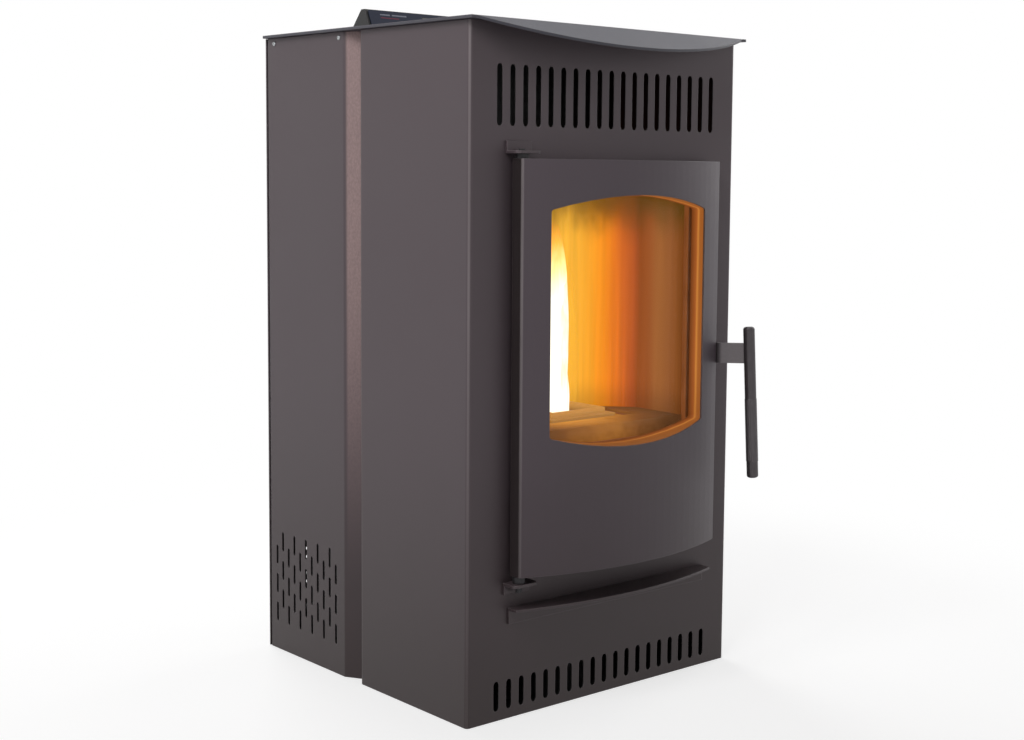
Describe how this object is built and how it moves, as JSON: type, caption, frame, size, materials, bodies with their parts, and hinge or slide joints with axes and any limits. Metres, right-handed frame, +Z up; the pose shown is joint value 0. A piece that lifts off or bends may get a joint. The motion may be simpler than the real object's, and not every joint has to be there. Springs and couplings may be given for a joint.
{
  "type": "pellet stove",
  "caption": "Compact free-standing pellet stove: folded steel cabinet with slotted front, bowed glazed fire door with a latch handle, top hopper lid and rear console.",
  "frame": {"origin": "on the floor under the middle of the cabinet, at the joint between the front and rear cabinet sections", "axes": "+Z up, the fire door faces -Y, +X to the right of someone facing the door"},
  "size_m": [0.466, 0.5761, 0.8913],
  "materials": {
    "cabinet_paint": "textured charcoal powder coat",
    "door_paint": "satin charcoal paint",
    "black_steel": "matt black heat-resistant paint",
    "bar_steel": "plain bar with a thin grey paint",
    "zinc_steel": "bright zinc plated",
    "cast_iron": "rough as cast",
    "fired_steel": "heat-tinted and sooted",
    "fire_glass": "clear heat-resistant ceramic glass",
    "rope_seal": "woven glass-fibre rope",
    "navy_face": "printed control face",
    "black_plastic": "matt moulded",
    "display": "dark display window",
    "circuit_board": "green solder mask",
    "motor_case": "plain rolled motor case"
  },
  "bodies": {
    "cabinet": {"cabinet_front_wrap": "cabinet_paint", "rear_side_left": "cabinet_paint", "rear_side_right": "cabinet_paint", "rear_panel": "cabinet_paint", "base_plate": "black_steel", "top_plate": "cabinet_paint", "hearth_shelf": "cabinet_paint", "hinge_bracket_upper": "black_steel", "hinge_bracket_lower": "black_steel", "latch_catch": "zinc_steel", "firebox_frame": "black_steel", "firebox_shell": "black_steel", "firebox_stand": "black_steel", "firebox_liner": "fired_steel", "heat_exchanger": "fired_steel", "hearth_plate": "fired_steel", "burn_pot": "cast_iron", "ash_pan": "black_steel", "igniter": "zinc_steel", "high_limit_switch": "black_plastic", "hopper_bin": "zinc_steel", "auger_tube": "zinc_steel", "auger_motor": "motor_case", "pellet_chute": "fired_steel", "exhaust_blower_housing": "cast_iron", "exhaust_blower_cradle": "zinc_steel", "exhaust_motor": "motor_case", "room_air_blower_housing": "zinc_steel", "room_air_blower_cradle": "zinc_steel", "room_air_motor": "motor_case", "exhaust_duct": "zinc_steel", "exhaust_pipe": "zinc_steel", "air_intake_pipe": "zinc_steel", "power_inlet": "black_plastic", "hopper_lid_hinge": "zinc_steel", "console_shell": "cabinet_paint", "console_face": "navy_face", "console_display": "display", "control_board": "circuit_board"},
    "fire_door": {"door_skin": "door_paint", "window_surround": "fired_steel", "door_glass": "fire_glass", "glass_gasket": "rope_seal", "door_inner_frame": "black_steel", "door_rope_gasket": "rope_seal", "hinge_pin_upper": "zinc_steel", "hinge_pin_lower": "zinc_steel", "latch_pivot_bolt": "zinc_steel"},
    "latch": {"latch_lever": "bar_steel", "handle_rod": "black_steel"},
    "hopper_lid": {"hopper_lid": "cabinet_paint", "hopper_lid_gasket": "rope_seal", "hopper_lid_pull": "black_steel"},
    "auger": {"auger_screw": "zinc_steel"},
    "exhaust_wheel": {"exhaust_impeller": "motor_case"},
    "room_air_wheel": {"room_air_impeller": "motor_case"},
    "button_1": {"button_1": "black_plastic"},
    "button_2": {"button_2": "black_plastic"},
    "button_3": {"button_3": "black_plastic"},
    "button_4": {"button_4": "black_plastic"}
  },
  "joints": [
    {"name": "door_hinge", "type": "hinge", "parent": "cabinet", "child": "fire_door", "pos_m": [-0.156, -0.24, 0.435], "axis": [0, 0, -1], "range_deg": [0, 120]},
    {"name": "latch_pivot", "type": "hinge", "parent": "fire_door", "child": "latch", "pos_m": [0.181, -0.241, 0.4335], "axis": [-1, 0, 0], "range_deg": [-8, 54]},
    {"name": "hopper_lid_hinge", "type": "hinge", "parent": "cabinet", "child": "hopper_lid", "pos_m": [0, 0.1105, 0.8575], "axis": [-1, 0, 0], "range_deg": [0, 95]},
    {"name": "auger_turn", "type": "hinge", "parent": "cabinet", "child": "auger", "pos_m": [0.007, -0.008, 0.515], "axis": [0, 0.6428, -0.766], "continuous": true},
    {"name": "exhaust_fan_turn", "type": "hinge", "parent": "cabinet", "child": "exhaust_wheel", "pos_m": [0.12, 0.075, 0.118], "axis": [1, 0, 0], "continuous": true},
    {"name": "room_air_fan_turn", "type": "hinge", "parent": "cabinet", "child": "room_air_wheel", "pos_m": [-0.166, 0.128, 0.1], "axis": [1, 0, 0], "continuous": true},
    {"name": "button_1_press", "type": "slide", "parent": "cabinet", "child": "button_1", "axis": [0, 0.866, -0.5], "range_m": [0, 0.001], "stiffness_N_per_m": 400},
    {"name": "button_2_press", "type": "slide", "parent": "cabinet", "child": "button_2", "axis": [0, 0.866, -0.5], "range_m": [0, 0.001], "stiffness_N_per_m": 400},
    {"name": "button_3_press", "type": "slide", "parent": "cabinet", "child": "button_3", "axis": [0, 0.866, -0.5], "range_m": [0, 0.001], "stiffness_N_per_m": 400},
    {"name": "button_4_press", "type": "slide", "parent": "cabinet", "child": "button_4", "axis": [0, 0.866, -0.5], "range_m": [0, 0.001], "stiffness_N_per_m": 400}
  ]
}
